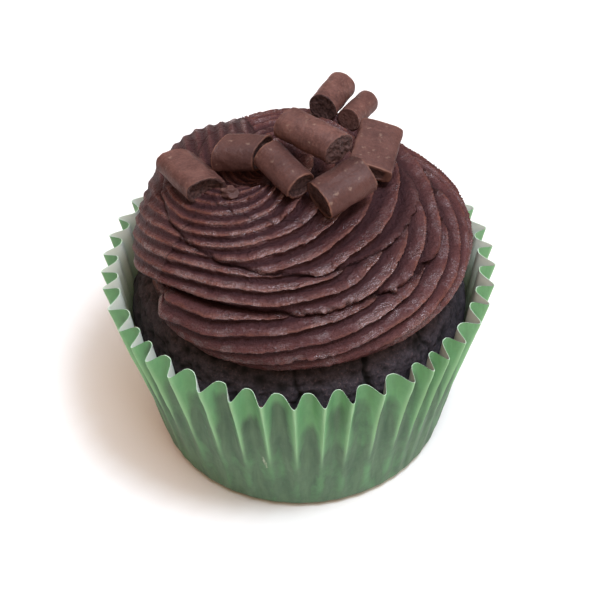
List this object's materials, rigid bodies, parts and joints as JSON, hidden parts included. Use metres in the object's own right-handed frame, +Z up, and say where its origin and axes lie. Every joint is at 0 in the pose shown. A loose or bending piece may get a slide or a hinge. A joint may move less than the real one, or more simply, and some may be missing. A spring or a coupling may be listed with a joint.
{
  "type": "cupcake",
  "caption": "Cupcake in a pleated paper case: dark chocolate sponge under a piped swirl of ridged chocolate icing, topped with rolled chocolate curls.",
  "frame": {"origin": "centre of the flat base of the paper case, on the surface it stands on", "axes": "+Z up along the axis of the paper case; -Y towards the front, the side where the swirl of icing starts on the left; +X to the right of the front"},
  "size_m": [0.0708, 0.0708, 0.071],
  "materials": {
    "paper": "matte",
    "sponge": "matte",
    "icing": "satin",
    "curl": "satin"
  },
  "bodies": {
    "root": {"paper_case": "paper", "sponge": "sponge", "icing": "icing", "curl_1": "curl", "curl_2": "curl", "curl_3": "curl", "curl_4": "curl", "curl_5": "curl", "curl_6": "curl", "curl_7": "curl", "curl_8": "curl"}
  },
  "joints": []
}
